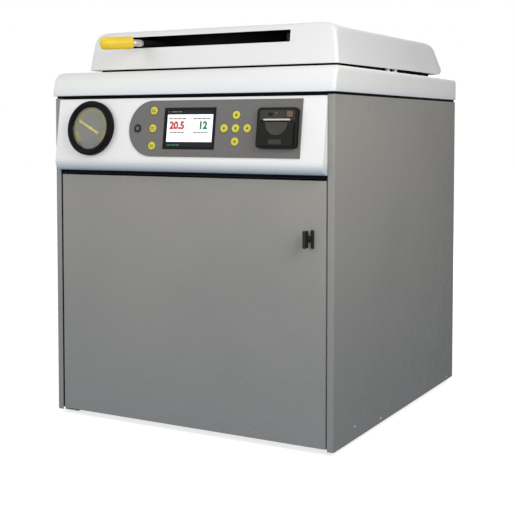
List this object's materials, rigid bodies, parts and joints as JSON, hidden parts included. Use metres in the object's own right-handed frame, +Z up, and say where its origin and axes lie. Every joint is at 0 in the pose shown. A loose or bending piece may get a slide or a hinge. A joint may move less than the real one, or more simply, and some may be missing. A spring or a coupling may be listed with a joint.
{
  "type": "benchtop autoclave",
  "caption": "Top-loading benchtop autoclave: grey cabinet, white fascia with gauge, display and printer, and a hinged pressure lid with a swinging lever.",
  "frame": {"origin": "centre of the footprint, on the bench under the feet", "axes": "+X to the right seen from the front, the front faces -Y, +Z up"},
  "size_m": [0.666, 0.7702, 0.828],
  "materials": {
    "grey_paint": "fine textured paint",
    "white_shell": "satin white",
    "dark_sheet": "matt",
    "overlay_grey": "fine matt film",
    "black_plastic": "satin",
    "printer_grey": "fine texture",
    "screen": "lit display",
    "key_yellow": "satin",
    "grip_yellow": "satin",
    "steel": "brushed",
    "frame_steel": "plated",
    "dial_grey": "matt printed",
    "glass": "clear",
    "paper": "paper",
    "circuit_green": "solder mask",
    "insulation": "mineral wool",
    "rubber": "matt",
    "silicone": "matt",
    "brass": "machined",
    "red_plastic": "satin"
  },
  "bodies": {
    "cabinet": {"base_tray": "frame_steel", "side_panel_left": "grey_paint", "side_panel_right": "grey_paint", "rear_panel": "grey_paint", "chassis_frame": "frame_steel", "fascia_backing": "dark_sheet", "hood": "white_shell", "fascia_panel": "white_shell", "control_overlay": "overlay_grey", "display_bezel": "black_plastic", "display_screen": "screen", "controller_board": "circuit_green", "gauge_case": "black_plastic", "gauge_dial": "dial_grey", "gauge_glass": "glass", "printer_body": "printer_grey", "door_hinge_rod": "steel", "latch_striker": "steel", "pressure_vessel": "steel", "vessel_neck_ring": "steel", "insulation_jacket": "insulation", "heater_element": "steel", "load_plate": "steel", "lid_hinge_bracket": "frame_steel", "lid_hinge_pin": "steel", "safety_valve": "brass", "drain_valve_body": "brass", "mains_inlet": "black_plastic", "exhaust_outlet": "brass", "foot_front_left": "rubber", "foot_front_right": "rubber", "foot_rear_left": "rubber", "foot_rear_right": "rubber"},
    "lid": {"lid_plate": "steel", "lid_gasket": "silicone", "lid_cover": "white_shell", "lid_hinge_arm": "frame_steel"},
    "lever": {"locking_ring": "steel", "lever_arm": "steel", "lever_grip": "grip_yellow", "slot_shutter": "black_plastic"},
    "door": {"front_door": "grey_paint", "latch_escutcheon": "black_plastic"},
    "latch": {"latch_knob": "black_plastic", "latch_cam": "steel"},
    "printer_door": {"printer_door": "printer_grey"},
    "printer_paper_roll": {"printer_paper_roll": "paper"},
    "printer_feed_button": {"printer_feed_button": "red_plastic"},
    "gauge_needle": {"gauge_needle": "key_yellow"},
    "drain_valve_handle": {"drain_valve_handle": "red_plastic"},
    "fan_rotor": {"fan_rotor": "black_plastic"},
    "key_power": {"key_power": "black_plastic"},
    "key_left_top": {"key_left_top": "key_yellow"},
    "key_left_middle": {"key_left_middle": "key_yellow"},
    "key_left_bottom": {"key_left_bottom": "key_yellow"},
    "key_centre": {"key_centre": "key_yellow"},
    "key_up": {"key_up": "key_yellow"},
    "key_down": {"key_down": "key_yellow"},
    "key_left": {"key_left": "key_yellow"},
    "key_right": {"key_right": "key_yellow"}
  },
  "joints": [
    {"name": "lid_hinge", "type": "hinge", "parent": "cabinet", "child": "lid", "pos_m": [0, 0.335, 0.752], "axis": [-1, 0, 0], "range_deg": [0, 75]},
    {"name": "lever_swing", "type": "hinge", "parent": "lid", "child": "lever", "pos_m": [0, 0.017, 0.8], "axis": [0, 0, 1], "range_deg": [0, 55]},
    {"name": "door_hinge", "type": "hinge", "parent": "cabinet", "child": "door", "pos_m": [-0.307, -0.3465, 0.27], "axis": [0, 0, -1], "range_deg": [0, 105]},
    {"name": "latch_turn", "type": "hinge", "parent": "door", "child": "latch", "pos_m": [0.276, -0.353, 0.4105], "axis": [0, 1, 0], "range_deg": [0, 90]},
    {"name": "printer_door_hinge", "type": "hinge", "parent": "cabinet", "child": "printer_door", "pos_m": [0.2185, -0.38, 0.5855], "axis": [1, 0, 0], "range_deg": [0, 90]},
    {"name": "paper_roll_spin", "type": "hinge", "parent": "cabinet", "child": "printer_paper_roll", "pos_m": [0.2185, -0.3349, 0.6054], "axis": [1, 0, 0], "continuous": true},
    {"name": "feed_button_push", "type": "slide", "parent": "cabinet", "child": "printer_feed_button", "axis": [0, 0.9903, -0.1392], "range_m": [0, 0.001], "stiffness_N_per_m": 600},
    {"name": "gauge_needle_turn", "type": "hinge", "parent": "cabinet", "child": "gauge_needle", "pos_m": [-0.223, -0.3633, 0.619], "axis": [0, 0.9903, -0.1392], "range_deg": [-73, 197]},
    {"name": "drain_handle_turn", "type": "hinge", "parent": "cabinet", "child": "drain_valve_handle", "pos_m": [0, -0.27, 0.141], "axis": [0, 0, 1], "range_deg": [0, 90]},
    {"name": "fan_spin", "type": "hinge", "parent": "cabinet", "child": "fan_rotor", "pos_m": [-0.18, 0.3347, 0.528], "axis": [0, 1, 0], "continuous": true},
    {"name": "key_power_push", "type": "slide", "parent": "cabinet", "child": "key_power", "axis": [0, 0.9903, -0.1392], "range_m": [0, 0.001], "stiffness_N_per_m": 600},
    {"name": "key_left_top_push", "type": "slide", "parent": "cabinet", "child": "key_left_top", "axis": [0, 0.9903, -0.1392], "range_m": [0, 0.001], "stiffness_N_per_m": 600},
    {"name": "key_left_middle_push", "type": "slide", "parent": "cabinet", "child": "key_left_middle", "axis": [0, 0.9903, -0.1392], "range_m": [0, 0.001], "stiffness_N_per_m": 600},
    {"name": "key_left_bottom_push", "type": "slide", "parent": "cabinet", "child": "key_left_bottom", "axis": [0, 0.9903, -0.1392], "range_m": [0, 0.001], "stiffness_N_per_m": 600},
    {"name": "key_centre_push", "type": "slide", "parent": "cabinet", "child": "key_centre", "axis": [0, 0.9903, -0.1392], "range_m": [0, 0.001], "stiffness_N_per_m": 600},
    {"name": "key_up_push", "type": "slide", "parent": "cabinet", "child": "key_up", "axis": [0, 0.9903, -0.1392], "range_m": [0, 0.001], "stiffness_N_per_m": 600},
    {"name": "key_down_push", "type": "slide", "parent": "cabinet", "child": "key_down", "axis": [0, 0.9903, -0.1392], "range_m": [0, 0.001], "stiffness_N_per_m": 600},
    {"name": "key_left_push", "type": "slide", "parent": "cabinet", "child": "key_left", "axis": [0, 0.9903, -0.1392], "range_m": [0, 0.001], "stiffness_N_per_m": 600},
    {"name": "key_right_push", "type": "slide", "parent": "cabinet", "child": "key_right", "axis": [0, 0.9903, -0.1392], "range_m": [0, 0.001], "stiffness_N_per_m": 600}
  ]
}
